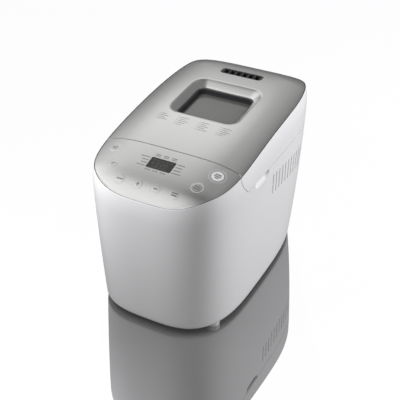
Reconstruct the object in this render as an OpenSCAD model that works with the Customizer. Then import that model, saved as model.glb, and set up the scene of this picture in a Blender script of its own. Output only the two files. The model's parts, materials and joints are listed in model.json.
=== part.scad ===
// Bread machine with a hinged lid, a lift-out pan and a two-paddle belt drive.
// Millimetres, +Z up, front towards -Y, origin at the middle of the footprint.

/* [Body] */
// Room between the oven and the outside of the housing on each side
side_room = 37.8; // [36.4:0.2:40]
// Length of the control panel from the lid joint to the front
panel_l = 98.3; // [97:0.1:102]
// Room between the oven and the rear of the housing
rear_room = 43.8; // [42.6:0.2:47]
// Place of the widest section, as a share of the length from the front
widest_share = 0.4121; // [0.4:0.0001:0.43]
// Squareness of the front corners in plan
square_front = 3.67; // [3.4:0.01:4.2]
// Squareness of the rear corners in plan
square_rear = 5.16; // [4.6:0.01:5.6]
// Squareness of the front corners at the base
square_front_base = 3.2; // [3:0.05:3.7]
// Squareness of the rear corners at the base
square_rear_base = 3.3; // [3.1:0.05:4]
// How much each side draws in towards the base
base_draw = 3.3; // [2:0.1:4]
// Rounding of the bottom edge
base_fillet = 6; // [4:0.5:8]
// Wall thickness of the housing and the lid shell
wall = 3; // [2.6:0.1:3.4]
// Height of the feet
foot_h = 8; // [6:0.5:10]
// Radius of a foot
foot_r = 12; // [10:0.5:13]
// How far each foot sits in from the side
foot_in = 30.8; // [29:0.2:36]

/* [Top surface] */
// Height of the top surface at its front end
top_front_z = 258.4; // [256:0.2:262]
// Height of the top surface at its rear end
top_rear_z = 303.8; // [300:0.2:308]
// How far the top profile bulges above a straight line
top_bulge = 15.6; // [13:0.2:18]
// How far the top rolls down at its rear end
rear_drop = 14; // [8:0.5:16]
// Drop of the top surface from its middle to its edge
crown = 13; // [11:0.2:15]
// How late the drop sets in, larger is flatter in the middle
crown_power = 4.4; // [3.8:0.1:5.4]
// Width of the white shoulder outside the silver plates
shoulder = 4.8; // [4.4:0.1:6]
// Depth over which the shoulder leans in
shoulder_h = 32; // [26:1:38]
// Thickness of the silver plates
plate_t = 2.5; // [2:0.1:3]

/* [Lid] */
// Height of the joint between lid and housing
part_z = 233.2; // [231:0.2:236]
// Width of the joint between lid and housing
part_gap = 1.2; // [1:0.1:1.6]
// Room between the oven and the lid joint on the centre line
part_room = 29.5; // [28:0.5:31]
// How far the joint bows forward at the sides
part_bow = 5; // [2:0.5:8]
// How far the joint sweeps back on its way down the side
part_sweep = 18; // [14:0.5:20]
// Width of the window opening in the silver plate
window_w = 124; // [116:1:130]
// Length of the window opening in the silver plate
window_l = 110; // [104:1:114]
// How far the middle of the window lies in front of the middle of the oven
window_fwd = 3.5; // [1:0.5:6]
// Depth from the lid surface down to the glass
window_depth = 20; // [18:0.5:22]
// Width of the steam vent
vent_w = 78; // [70:1:84]
// Length of the steam vent
vent_l = 20; // [18:0.5:22]
// Corner radius of the steam vent
vent_r = 6.5; // [5:0.5:8]
// How far the middle of the steam vent lies in from the rear end of the oven
vent_in = 22; // [19:0.5:24]
// Number of slots in the steam vent
vent_slots = 6; // [4:1:7]
// Radius of the hinge pins
hinge_pin_r = 2; // [1.8:0.1:2.2]
// Half length of the hinge barrel
barrel_half = 56; // [44:1:58]

/* [Controls] */
// Width of the display lens
lcd_w = 42; // [38:0.5:46]
// Length of the display lens along the machine
lcd_l = 23; // [21:0.5:25]
// How far the middle of the display lies in front of the lid joint
lcd_fwd = 34.5; // [33:0.5:36]
// Radius of the start key
key_start_r = 9.6; // [9:0.1:10]
// Radius of the timer key
key_timer_r = 8.6; // [8:0.1:9]
// Radius of the six other keys
key_r = 7.8; // [7.2:0.1:8.2]
// Travel of a key
key_travel = 0.8; // [0.5:0.1:1]

/* [Side vents] */
// Number of slots on each side
slot_count = 11; // [6:1:12]
// Distance from one slot to the next
slot_pitch = 13; // [12:0.2:13.6]
// Width of a slot
slot_w = 3; // [2:0.1:4]
// Height of a slot
slot_h = 38; // [30:1:40]

/* [Oven and pan] */
// Gap between the pan rim and the oven wall on each side
oven_gap_w = 13; // [11.5:0.5:14.5]
// Gap between the pan rim and the oven wall at each end
oven_gap_l = 16.5; // [15:0.5:17.5]
// Corner radius of the oven
oven_r = 12; // [10:0.5:16]
// Middle of the oven along the machine
oven_y = 42; // [41:0.5:43.5]
// Height of the oven floor
oven_floor_z = 64; // [62:0.5:66]
// Sheet thickness of the oven
oven_t = 1.2; // [1:0.1:1.5]
// Outside width of the pan at its rim
pan_w = 148; // [136:1:160]
// Outside length of the pan at its rim
pan_l = 205; // [190:1:220]
// Height of the pan wall
pan_h = 110; // [100:1:111]
// Sheet thickness of the pan
pan_t = 1.6; // [1.2:0.1:2]
// Distance between the two paddle shafts
paddle_gap = 90; // [86:1:94]
// Reach of a paddle blade from its shaft
paddle_reach = 38; // [34:0.5:40]

/* [Drive] */
// Radius of the large pulley
pulley_big_r = 40; // [36:0.5:42]
// Radius of the motor pulley
pulley_small_r = 8; // [7.5:0.1:9]
// Radius of the two linking pulleys
pulley_link_r = 20; // [17:0.5:22]
// Width of a belt
belt_w = 8; // [6:0.5:8.5]
// Radius of the motor
motor_r = 40; // [36:0.5:41]
// How far the motor lies in front of the lid joint
motor_fwd = 31.5; // [29.5:0.5:32.5]

/* [Hidden] */
$fn = 48;

white = [0.93, 0.93, 0.94];
silver = [0.72, 0.72, 0.72];
steel = [0.66, 0.67, 0.69];
dark = [0.16, 0.16, 0.17];
green = [0.10, 0.32, 0.20];

ring_n = 64;            // points in one ring of a moulded shell
fit = 0.3;              // clearance between pieces that seat on each other
running = 0.06;         // radial clearance of a turning shaft
far = 400;              // longer than the machine
roll_from = 0.88;       // share of the top length where the roll starts
rim_rhos = [for (k = [1:5]) 1 - 0.032 * k]; // rings in from the silver edge, shared by plates and shells
lip = 0.9;              // gap between a silver plate and the white rim
flange_rho = 0.87;      // inner edge of the flange under the silver plates
base_inset = 4;         // how far the bottom edge rounds in

oven_w = pan_w + 2 * oven_gap_w;
oven_l = pan_l + 2 * oven_gap_l;
body_w = oven_w + 2 * side_room;
side = body_w / 2;
oven_front = oven_y - oven_l / 2;
oven_rear = oven_y + oven_l / 2;
part_y = oven_front - part_room;
front_y = part_y - panel_l;
rear_y = oven_rear + rear_room;
widest_y = round((front_y + widest_share * (rear_y - front_y)) * 100) / 100;
body_front = widest_y - front_y;
body_rear = rear_y - widest_y;
lcd_y = part_y - lcd_fwd;
motor_y = part_y - motor_fwd;
window_y = oven_y - window_fwd;
vent_y = oven_rear - vent_in;
plate_a = side - shoulder;
plate_front = body_front - shoulder;
plate_rear = body_rear - shoulder;
plate_len = plate_front + plate_rear;
skin = plate_t + fit;   // from the visible surface down to the white flange
skin_in = skin + wall;
floor_top = foot_h + wall;

joint_top = top_z(part_y) - 0.75 * crown;
joint_low = joint_top - 6;
hinge_drop = 7.8;       // from the hinge axis back to the rear wall
hinge_y = rear_y - hinge_drop;
hinge_z = part_z + 9;
barrel_r = 7;
ear_t = 5;
ear_x = barrel_half + 0.5;

// Middle of each key on the top surface, on the left half; the right half mirrors it.
key_outer = [side - 35.3, part_y - 21.9];
key_third = [side - 51.8, part_y - 55.5];
key_second = [side * 0.3766, part_y - 78.5];
key_inner = [side * 0.1226, part_y - 78.5];
board_depth = 13.2;     // from the surface at the display down to the control board
board_t = 1.6;
bosses = [[side - 29.8, part_y - 39.5], [side - 58.8, part_y - 74.5]];

liner_t = 1.2;
liner_z = part_z + 5;
liner_y = [part_y + 21.5, hinge_y - 13];
lid_posts = [[side - 17.8, oven_front + 19], [side - 17.8, oven_rear - 43]];
post_r = 5;

seat_z = oven_floor_z + oven_t;
pan_z = oven_floor_z + 16;
pan_rim = pan_z + pan_h;
pan_r = 24;
lug_z = seat_z + 4;     // bottom of the driven lugs
shaft_y = [oven_y - paddle_gap / 2, oven_y + paddle_gap / 2];
chassis_z = oven_floor_z - fit - 3;
big_z = floor_top + 4;  // bottom of the large pulley
flange_t = 1.2;         // side plates of a pulley
groove = belt_w + 2 * fit;
pulley_h = groove + 2 * flange_t;
link_z = big_z + pulley_h + 1;
bail_r = 2.5;
bail_pivot_z = pan_rim - 8;
bail_reach = pan_w / 2 - 2;
bail_tilt = atan((8 + fit + bail_r) / bail_reach);
screw_xy = [[side - 13.8, oven_front + 17], [side - 16.8, oven_front + 147]];
element_x = oven_w / 2 - 6;
element_y = oven_l / 2 - 7;
element_z = 14;
element_r = 3.2;
terminal_x = 15;
mount_z = link_z + pulley_h;
board_x = (motor_r + 8 + side - 28.8) / 2;     // midway between the motor and the side wall
board_h = 60;
board_l = 64;
can_r = 15;
can_h = 62;
motor_h = 62;
insulation_t = 8;
insulation_h = 134;
chassis_w = oven_w - 24;
chassis_l = oven_l - 28;
leg_x = chassis_w / 2 - 5;
leg_y = chassis_l / 2 - 15;
leg_w = 28;
clip_x = element_x - element_r - 1.2;
clip_y = 50;
clip_w = 8;
seat_w = 74;
probe_x = 40;
feet_xy = [[side - foot_in, front_y + 56.8], [side - foot_in - 10, rear_y - 64.8]];
inlet_x = side - 84.8;
inlet_z = 44;
inlet_w = 30;
inlet_h = 22;
inlet_y = rear_y - 5.5;

// ------------------------------------------------------------ surface functions

function mix(a, b, t) = a + (b - a) * t;
// Share of the way along the top surface.
function along(y) = (y - widest_y + plate_front) / plate_len;
// Height of the top profile on the centre line.
function roll(y) = max(0, (along(y) - roll_from) / (1 - roll_from));
function top_z(y) = let (u = along(y)) mix(top_front_z, top_rear_z, u) + 4 * top_bulge * u * (1 - u) - rear_drop * pow(roll(y), 2);
// Height of the visible top surface.
function surf(p) = top_z(p[1]) - crown * pow(abs(p[0]) / plate_a, crown_power);
function slope_y(y) = (top_rear_z - top_front_z + 4 * top_bulge * (1 - 2 * along(y)) - 2 * rear_drop * roll(y) / (1 - roll_from)) / plate_len;
function slope_x(x) = -sign(x) * crown * crown_power / plate_a * pow(abs(x) / plate_a, crown_power - 1);
// Point i of a plan ring: o is the offset from the silver edge, w is 0 at the top and 1 at the base.
function plan_pt(i, o = 0, w = 0, rho = 1) =
    let (a = 360 * i / ring_n, c = cos(a), s = sin(a),
        e = s < 0 ? mix(square_front, square_front_base, w) : mix(square_rear, square_rear_base, w),
        r = rho / pow(pow(abs(c), e) + pow(abs(s), e), 1 / e))
    [(plate_a + o) * r * c, widest_y + ((s < 0 ? plate_front : plate_rear) + o) * r * s];
function edge_z(i) = surf(plan_pt(i));
function lift(p, z) = [p[0], p[1], z];
// Rings of the shell: at the base, up the wall, round the shoulder, and over the top.
function base_ring(o, z) = [for (i = [0:ring_n - 1]) lift(plan_pt(i, o, 1), z)];
function wall_ring(f, inset) =
    let (w = pow(1 - f, 1.3))
    [for (i = [0:ring_n - 1])
        lift(plan_pt(i, shoulder - base_draw * w - inset, w),
            mix(foot_h + base_fillet, edge_z(i) - shoulder_h, f))];
function lean(d) = lip + (shoulder - lip) * (1 - pow(1 - d / shoulder_h, 2));
function shoulder_ring(d, inset) =
    [for (i = [0:ring_n - 1]) lift(plan_pt(i, lean(d) - inset), edge_z(i) - d)];
function top_ring(rho, o, depth) =
    [for (i = [0:ring_n - 1])
        let (p = plan_pt(i, o, 0, rho)) lift(p, surf(plan_pt(i, 0, 0, rho)) - depth)];
function middle(depth) = [0, widest_y, top_z(widest_y) - depth];

// Side view of the joint between lid and housing.
function joint_y(z) =
    z > joint_top ? part_y
    : z > joint_low ? part_y - part_bow * (1 - cos(180 * (joint_top - z) / (joint_top - joint_low))) / 2
    : part_y - part_bow + part_sweep * (1 - cos(90 * (joint_low - z) / (joint_low - part_z)));
joint_n = 18;
function joint_line(g) =
    [for (k = [0:joint_n]) let (z = mix(part_z, joint_top, k / joint_n)) [joint_y(z) + g, z]];

// ------------------------------------------------------------ shared shapes

// Closed solid through rings of equal length, with a point at each end; flip turns the diagonals round.
module loft(rings, low, high, flip = false) {
    n = len(rings[0]);
    m = len(rings);
    polyhedron(
        points = concat([for (r = rings) each r], [low, high]),
        faces = concat(
            [for (i = [0:n - 1]) [m * n, i, (i + 1) % n]],
            [for (k = [0:m - 2], i = [0:n - 1]) let (j = (i + 1) % n, a = k * n, b = a + n)
                each flip ? [[a + i, b + i, a + j], [a + j, b + i, b + j]] : [[a + i, b + i, b + j], [a + i, b + j, a + j]]],
            [for (i = [0:n - 1]) [(m - 1) * n + i, m * n + 1, (m - 1) * n + (i + 1) % n]]));
}

// The whole moulded form, housing and lid together, up to the underside of the silver plates.
module outer_form() {
    loft(concat(
            [base_ring(shoulder - base_draw - base_inset, foot_h),
                base_ring(shoulder - base_draw - base_inset * 0.3, foot_h + base_fillet * 0.3)],
            [for (f = [0, 0.3, 0.65, 1]) wall_ring(f, 0)],
            [for (d = [22, 14, 7, 3, 0]) shoulder_ring(d, 0)],
            [top_ring(1, lip, skin + lip / 2)], [for (r = rim_rhos) top_ring(r, 0, skin)]),
        [0, widest_y, foot_h], middle(skin));
}

// The hollow inside the moulded form.
module inner_form() {
    loft(concat(
            [base_ring(shoulder - base_draw - base_inset - wall, foot_h - 2),
                base_ring(shoulder - base_draw - wall, foot_h + base_fillet + 2)],
            [for (f = [0.35, 0.7, 1]) wall_ring(f, wall)],
            [for (d = [18, 10, skin_in]) shoulder_ring(d, wall)],
            [for (r = rim_rhos) top_ring(r, 0, skin_in)]),
        [0, widest_y, foot_h - 2], middle(skin_in));
}

// The skin of both silver plates in one piece.
module plate_form() {
    rhos = concat([0.35, 0.6, 0.78], [for (k = [4:-1:0]) rim_rhos[k]], [1]);
    loft(concat(
            [for (r = rhos) top_ring(r, 0, plate_t)],
            [for (k = [len(rhos) - 1:-1:0]) top_ring(rhos[k], 0, 0)]),
        middle(plate_t), middle(0), flip = true);
}

module side_prism(points) {
    rotate([90, 0, 90]) linear_extrude(far, center = true) polygon(points);
}

module housing_region(g, z) {
    side_prism(concat([[-far, -far], [far, -far], [far, z], [joint_y(part_z) + g, z]],
        joint_line(g), [[part_y + g, far], [-far, far]]));
}

module lid_region(g, z) {
    side_prism(concat([[far, z], [joint_y(part_z) + g, z]],
        joint_line(g), [[part_y + g, far], [far, far]]));
}

// Opening inside the flange that carries the silver plates.
module flange_opening() {
    translate([0, 0, part_z + 2])
        linear_extrude(far) polygon([for (i = [0:ring_n - 1]) plan_pt(i, 0, 0, flange_rho)]);
}

// Rectangle with round corners.
module rrect(w, l, r) {
    square([w - 2 * r, l], center = true);
    square([w, l - 2 * r], center = true);
    for (x = [-1, 1], y = [-1, 1]) translate([x * (w / 2 - r), y * (l / 2 - r)]) circle(r);
}

module rbox(w, l, h, r) {
    linear_extrude(h) rrect(w, l, r);
}

// Rectangular tube with round corners.
module rtube(w, l, h, r, t) {
    difference() {
        rbox(w, l, h, r);
        translate([0, 0, -1]) rbox(w - 2 * t, l - 2 * t, h + 2, r - t);
    }
}

module ring(r, r_in, h) {
    difference() {
        cylinder(h = h, r = r);
        translate([0, 0, -1]) cylinder(h = h + 2, r = r_in);
    }
}

module four(p) {
    for (x = [-1, 1], q = p) translate([x * q[0], q[1], 0]) children();
}

// Places its children on the top surface at x, y, with z along the outward normal.
module on_surface(x, y) {
    translate([x, y, surf([x, y])])
        rotate([0, atan(-slope_x(x)), 0])
        rotate([atan(slope_y(y) * cos(atan(slope_x(x)))), 0, 0]) children();
}

module each_key() {
    for (p = [key_outer, key_third, key_second, key_inner], s = [-1, 1])
        on_surface(s * p[0], p[1]) children();
}

// ------------------------------------------------------------ housing

// Capsule that scoops a finger recess out of each side, just below the lid.
module finger_scoop(r) {
    for (s = [-1, 1]) translate([s * (body_w / 2 + 6.5), 0, part_z - 1]) {
        translate([0, -28, 0]) rotate([90, 0, 0]) cylinder(h = 28, r = r);
        for (y = [-56, -28]) translate([0, y, 0]) sphere(r);
    }
}

module side_slots() {
    for (s = [-1, 1], k = [0:slot_count - 1])
        translate([s * body_w / 2, 5 + k * slot_pitch, part_z - 22 - k * 1.3 - slot_h / 2])
            cube([2 * wall + 22, slot_w, slot_h], center = true);
}

module hinge_axis(h, r) {
    translate([0, hinge_y, hinge_z]) rotate([0, 90, 0]) cylinder(h = h, r = r, center = true);
}

// The frame that the display and its board lie in.
module control_frame() {
    on_surface(0, lcd_y) children();
}

module below_board(depth) {
    control_frame() translate([0, 0, -depth - far / 2]) cube(far, center = true);
}

module housing() {
    color(white) difference() {
        intersection() {
            outer_form();
            union() {
                difference() {
                    housing_region(0, part_z);
                    intersection() { inner_form(); housing_region(-wall, part_z - wall); }
                }
                difference() {
                    finger_scoop(13 + wall);
                    translate([-far, -far, part_z]) cube(2 * far);
                }
                four(screw_xy) translate([0, 0, floor_top]) cylinder(h = 40, r = 7);
                hinge_axis(2 * barrel_half, barrel_r);
                translate([-barrel_half, hinge_y - 6, part_z - 1]) cube([2 * barrel_half, 9, 8]);
                difference() {
                    four(bosses) translate([0, 0, part_z]) cylinder(h = 90, r = 4);
                    below_board(board_depth);
                }
            }
        }
        intersection() { flange_opening(); housing_region(-wall - 4, part_z - wall); }
        finger_scoop(13);
        side_slots();
        each_key() translate([0, 0, -12]) cylinder(h = 12, r = key_start_r + 2);
        translate([0, oven_y, part_z - 10])
            rbox(oven_w + 2 * oven_t + 1.6, oven_l + 2 * oven_t + 1.6, 20, oven_r + oven_t + 0.8);
        hinge_axis(2 * barrel_half + 1, hinge_pin_r + 0.05);
        four(screw_xy) translate([0, 0, floor_top - 1]) cylinder(h = 16, r = 1.6);
        translate([inlet_x, rear_y, inlet_z]) cube([inlet_w + 2 * fit, 60, inlet_h + 2 * fit], center = true);
    }
}

module base_outline(o) {
    polygon([for (i = [0:ring_n - 1]) plan_pt(i, shoulder - base_draw - base_inset - wall - o, 1)]);
}

module base_plate() {
    color(dark) difference() {
        union() {
            translate([0, 0, foot_h]) linear_extrude(wall) base_outline(fit);
            for (s = [-1, 1]) translate([board_x + s * 3, motor_y, floor_top]) cube([3, 60, 12], center = true);
        }
        four(feet_xy) translate([0, 0, foot_h - 1]) cylinder(h = wall + 2, r = foot_r / 3 + fit);
        four(screw_xy) translate([0, 0, foot_h - 1]) cylinder(h = wall + 2, r = 2.2);
        for (k = [-4:4]) translate([0, 125 + k * 9, foot_h]) cube([90, 4, 4 * wall], center = true);
    }
}

module feet() {
    color(white) four(feet_xy) {
        cylinder(h = foot_h - 2, r1 = foot_r - 1, r2 = foot_r);
        translate([0, 0, foot_h - 2]) cylinder(h = 2, r = foot_r);
        cylinder(h = floor_top + 1, r = foot_r / 3);
        translate([0, 0, floor_top + fit]) cylinder(h = 1.5, r1 = foot_r / 3 + 1.2, r2 = foot_r / 3);
    }
}

module base_screws() {
    color(steel) four(screw_xy) {
        translate([0, 0, foot_h - 2.3]) cylinder(h = 2, r = 3.6);
        translate([0, 0, foot_h - 2.3]) cylinder(h = 14, r = 1.5);
    }
}

module power_inlet() {
    color(dark) translate([inlet_x, inlet_y, inlet_z]) difference() {
        translate([0, -13, 0]) cube([inlet_w, 26, inlet_h], center = true);
        cube([inlet_w - 6, 28, inlet_h - 6], center = true);
    }
    color(steel) for (x = [-5, 5]) translate([inlet_x + x, inlet_y - 10, inlet_z]) cube([2, 12, 4], center = true);
}

// ------------------------------------------------------------ controls

module control_panel() {
    color(silver) difference() {
        intersection() { plate_form(); housing_region(0, part_z); }
        each_key() translate([0, 0, -6]) cylinder(h = 12, r = key_r + fit);
        on_surface(key_outer[0], key_outer[1]) translate([0, 0, -6]) cylinder(h = 12, r = key_start_r + fit);
        on_surface(key_third[0], key_third[1]) translate([0, 0, -6]) cylinder(h = 12, r = key_timer_r + fit);
        control_frame() translate([0, 0, -6]) rbox(lcd_w + 2 * fit, lcd_l + 2 * fit, 12, 2);
    }
}

module lcd_lens() {
    color(dark) control_frame() translate([0, 0, -plate_t]) rbox(lcd_w, lcd_l, plate_t - 0.3, 1.7);
}

module lcd_module() {
    color([0.35, 0.37, 0.34]) control_frame()
        translate([-lcd_w / 2 - 3, -lcd_l / 2 - 3, -board_depth])
            cube([lcd_w + 6, lcd_l + 6, board_depth - plate_t - fit]);
}

module control_board() {
    rear = part_y - part_bow - wall - 2;
    color(green) union() {
        difference() {
            intersection() {
                linear_extrude(far) polygon([for (i = [0:ring_n - 1]) plan_pt(i, 0, 0, 0.93)]);
                translate([20.8 - side, rear - far, 0]) cube([2 * (side - 20.8), far, far]);
                control_frame() translate([0, 0, -board_depth - board_t])
                    linear_extrude(board_t) square(far, center = true);
            }
            control_frame() translate([0, -38, -board_depth - 3]) cylinder(h = 6, r = 2);
        }
        difference() {
            each_key() translate([0, 0, -14]) cylinder(h = 7.5, r = 3.4);
            each_key() translate([0, 0, -9.5]) cylinder(h = 4, r = 1.9);
            below_board(board_depth + board_t / 2);
        }
        control_frame() translate([0, 2, -board_depth - board_t - 4]) rbox(40, 14, 4.5, 2);
    }
}

// A key: cap through the panel, a collar below it, and a stem into its switch.
module key(p, s, r) {
    color([0.74, 0.74, 0.74]) on_surface(s * p[0], p[1]) {
        translate([0, 0, -plate_t - 1]) cylinder(h = plate_t + 1.1, r = r);
        translate([0, 0, 0.1]) cylinder(h = 0.3, r1 = r, r2 = r - 0.4);
        translate([0, 0, -plate_t - 1.8]) cylinder(h = 1, r = r + 1);
        translate([0, 0, -8.2]) cylinder(h = 6, r = 1.5);
    }
}

module key_program() { key(key_outer, -1, key_r); }
module key_crust() { key(key_third, -1, key_r); }
module key_dough() { key(key_second, -1, key_r); }
module key_plus() { key(key_inner, -1, key_r); }
module key_minus() { key(key_inner, 1, key_r); }
module key_light() { key(key_second, 1, key_r); }
module key_timer() { key(key_third, 1, key_timer_r); }
module key_start() { key(key_outer, 1, key_start_r); }

// ------------------------------------------------------------ lid

// Room behind and below the hinge axis for the lid to swing into.
module hinge_relief() {
    difference() {
        translate([-far, hinge_y, 0]) cube([2 * far, far, hinge_z]);
        hinge_axis(2 * far, 8.4);
    }
}

module barrel_notch(o) {
    w = ear_x + ear_t + 1.5 + o;
    translate([-w, hinge_y - 8.5 - o, 0]) cube([2 * w, far, hinge_z + 8 + o]);
}

module lid_shell() {
    color(white) difference() {
        intersection() {
            outer_form();
            union() {
                difference() {
                    lid_region(part_gap, part_z + part_gap);
                    intersection() { inner_form(); lid_region(part_gap + wall, 0); }
                    hinge_relief();
                    barrel_notch(0);
                }
                for (s = [-1, 1]) translate([s * (ear_x + ear_t / 2), hinge_y, hinge_z]) {
                    rotate([0, 90, 0]) cylinder(h = ear_t, r = 5.5, center = true);
                    translate([-ear_t / 2, -16, 0]) cube([ear_t, 21.5, 70]);
                }
                four(lid_posts) translate([0, 0, liner_z + liner_t]) cylinder(h = 60, r = post_r);
            }
        }
        intersection() { flange_opening(); lid_region(part_gap + wall + 4, 0); translate([-far, -far, 0]) cube([2 * far, far + hinge_y - 22, far]); }
        hinge_axis(2 * (ear_x + ear_t) + 2, hinge_pin_r + running);
        four(lid_posts) translate([0, 0, liner_z]) cylinder(h = 16, r = 1.7);
    }
}

module window_frame() {
    on_surface(0, window_y) children();
}

module vent_frame() {
    on_surface(0, vent_y) children();
}

module lid_top_plate() {
    color(silver) difference() {
        intersection() { plate_form(); lid_region(part_gap, part_z); }
        window_frame() translate([0, 0, -12]) rbox(window_w, window_l, 20, 20);
        vent_frame() translate([0, 0, -8]) rbox(vent_w, vent_l, 16, vent_r);
    }
}

module window_bezel() {
    w = window_w - 2 * fit;
    l = window_l - 2 * fit;
    color(silver) window_frame() difference() {
        union() {
            translate([0, 0, -13]) rbox(w, l, 11, 20 - fit);
            translate([0, 0, -13]) rbox(w + 14, l + 14, 13 - plate_t - 2.2, 24);
        }
        hull() {
            translate([0, 0, -2]) rbox(w - 3, l - 3, 1, 18);
            translate([0, 0, -11]) rbox(w - 20, l - 20, 1, 12);
        }
        translate([0, 0, -20]) rbox(w - 20, l - 20, 20, 12);
        translate([0, 0, -14]) rtube(w + 40, l + 40, 5, 30, 20.5);
    }
}

// Dark shaft that joins the window frame to the inner lid.
module window_well() {
    w = window_w - 18;
    l = window_l - 18;
    color(dark) difference() {
        window_frame() union() {
            translate([0, 0, -80]) rtube(w, l, 80 - 13 - fit, 14, 3);
            translate([0, 0, -window_depth - 8]) rtube(w - 5, l - 5, 4, 11, 4);
        }
        translate([-far, -far, 0]) cube([2 * far, 2 * far, liner_z + liner_t]);
    }
}

module window_glass() {
    color([0.42, 0.42, 0.41]) window_frame()
        translate([0, 0, -window_depth - 3.7]) rbox(window_w - 24.6, window_l - 24.6, 3, 10.7);
}

module window_gasket() {
    color(dark) window_frame()
        translate([0, 0, -window_depth - 0.4]) rtube(window_w - 24.6, window_l - 24.6, 1.2, 10.7, 3);
}

module steam_vent_grille() {
    pitch = (vent_w - 8) / vent_slots;
    color(dark) vent_frame() difference() {
        union() {
            translate([0, 0, -5.5]) rbox(vent_w - 2 * fit, vent_l - 2 * fit, 4.9, vent_r - fit);
            translate([0, 0, -6]) rbox(vent_w + 6, vent_l + 6, 2.2, vent_r + 3);
        }
        for (k = [0:vent_slots - 1])
            translate([(k - (vent_slots - 1) / 2) * pitch, 0, 0])
                cube([pitch - 2, vent_l - 5, 30], center = true);
    }
}

module steam_duct() {
    color(dark) difference() {
        vent_frame() translate([0, 0, -90]) rtube(vent_w - 6, vent_l - 3, 90 - 6 - fit, vent_l / 2 - 3, 1.6);
        translate([-far, -far, 0]) cube([2 * far, 2 * far, liner_z + liner_t]);
    }
}

module lid_liner() {
    mid = (liner_y[0] + liner_y[1]) / 2;
    w = oven_w - 8;
    l = oven_l - 8;
    color(steel) difference() {
        union() {
            translate([0, mid, liner_z]) rbox(2 * (lid_posts[0][0] + post_r), liner_y[1] - liner_y[0], liner_t, 44);
            translate([0, oven_y, liner_z - 8]) rtube(w, l, 8 + liner_t / 2, oven_r - 4, liner_t);
        }
        window_hole();
        translate([0, vent_y, liner_z - 1]) rbox(vent_w - 16, vent_l - 10, 4, 4);
        four(lid_posts) translate([0, 0, liner_z - 1]) cylinder(h = 4, r = 2);
    }
}

module window_hole() {
    translate([0, window_y, liner_z - 1]) rbox(window_w - 36, window_l - 36, 4, 8);
}

module inner_glass() {
    color([0.42, 0.42, 0.41]) translate([0, window_y + 3, liner_z + liner_t + fit])
        rbox(window_w - 30, window_l - 31, 3, 9);
}

module lid_seal() {
    color([0.55, 0.2, 0.16]) translate([0, oven_y, part_z + 2])
        rtube(oven_w + 12, oven_l + 12, 5 - 2 - fit, oven_r + 6, 7);
}

module lid_screws() {
    color(steel) four(lid_posts) {
        translate([0, 0, liner_z - fit - 2]) cylinder(h = 2, r1 = 2.6, r2 = 3.6);
        translate([0, 0, liner_z - 1]) cylinder(h = 12, r = 1.5);
    }
}

module hinge_pins() {
    color(steel) for (s = [-1, 1]) translate([s * (ear_x + ear_t / 2 - 4), hinge_y, hinge_z])
        rotate([0, 90, 0]) cylinder(h = 13, r = hinge_pin_r, center = true);
}

// ------------------------------------------------------------ oven

module oven_liner() {
    w = oven_w + 2 * oven_t;
    l = oven_l + 2 * oven_t;
    top = part_z + fit;
    color(steel) difference() {
        union() {
            translate([0, oven_y, oven_floor_z]) rbox(w, l, top - oven_floor_z, oven_r + oven_t);
            translate([0, oven_y, top]) rbox(w + 18, l + 18, oven_t, oven_r + 9);
        }
        translate([0, oven_y, seat_z]) rbox(oven_w, oven_l, far, oven_r);
        for (y = shaft_y) translate([0, y, oven_floor_z - 1]) cylinder(h = 4, r = 9);
        element_terminals(6.8);
        probe_axis(3.3);
    }
}

module oven_insulation() {
    w = oven_w + 2 * (oven_t + fit + insulation_t);
    l = oven_l + 2 * (oven_t + fit + insulation_t);
    color([0.78, 0.76, 0.70]) translate([0, oven_y, seat_z + 2]) difference() {
        rtube(w, l, insulation_h, oven_r + oven_t + fit + insulation_t, insulation_t);
        translate([0, -oven_y, -seat_z - 2]) { element_terminals(6.8); probe_axis(3.3); }
    }
}

module element_terminals(r, from = 0) {
    for (x = [-1, 1]) translate([x * terminal_x, oven_y + element_y + from, seat_z + element_z])
        rotate([-90, 0, 0]) cylinder(h = 32 - from, r = r);
}

module heating_element() {
    bend = 20;
    exit_bend = 8;
    run = element_x - bend - terminal_x - exit_bend;
    color([0.36, 0.37, 0.38]) {
        translate([0, oven_y, seat_z + element_z]) {
            for (s = [-1, 1]) {
                translate([s * element_x, 0, 0]) rotate([90, 0, 0])
                    cylinder(h = 2 * (element_y - bend), r = element_r, center = true);
                translate([s * (terminal_x + exit_bend + run / 2), element_y, 0]) rotate([0, 90, 0])
                    cylinder(h = run, r = element_r, center = true);
                translate([s * (terminal_x + exit_bend), element_y + exit_bend, 0])
                    rotate([0, 0, s > 0 ? 180 : -90]) quarter_bend(exit_bend);
                for (t = [-1, 1]) translate([s * (element_x - bend), t * (element_y - bend), 0])
                    rotate([0, 0, s > 0 ? (t > 0 ? 0 : -90) : (t > 0 ? 90 : 180)]) quarter_bend(bend);
            }
            translate([0, -element_y, 0]) rotate([0, 90, 0])
                cylinder(h = 2 * (element_x - bend), r = element_r, center = true);
        }
        element_terminals(element_r, exit_bend);
    }
}

module quarter_bend(bend) {
    rotate_extrude(angle = 90) translate([bend, 0]) circle(element_r);
}

module element_bushings() {
    color([0.9, 0.88, 0.82]) difference() {
        translate([0, 7, 0]) intersection() {
            element_terminals(6.5);
            translate([-far, -far, 0]) cube([2 * far, far + oven_y + oven_l / 2 + 8, far]);
        }
        element_terminals(element_r + fit);
    }
}

module element_clips() {
    color(steel) translate([0, oven_y, seat_z + element_z]) difference() {
        for (s = [-1, 1], y = [-clip_y, clip_y]) translate([s * (oven_w / 2 + clip_x) / 2, y, 0])
            cube([oven_w / 2 - clip_x - 2 * fit, clip_w, 10], center = true);
        for (s = [-1, 1]) translate([s * element_x, 0, 0]) rotate([90, 0, 0])
            cylinder(h = far, r = element_r + fit, center = true);
    }
}

module probe_axis(r) {
    translate([probe_x, oven_front - 18, seat_z + 70]) rotate([-90, 0, 0]) cylinder(h = 24, r = r);
}

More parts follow.
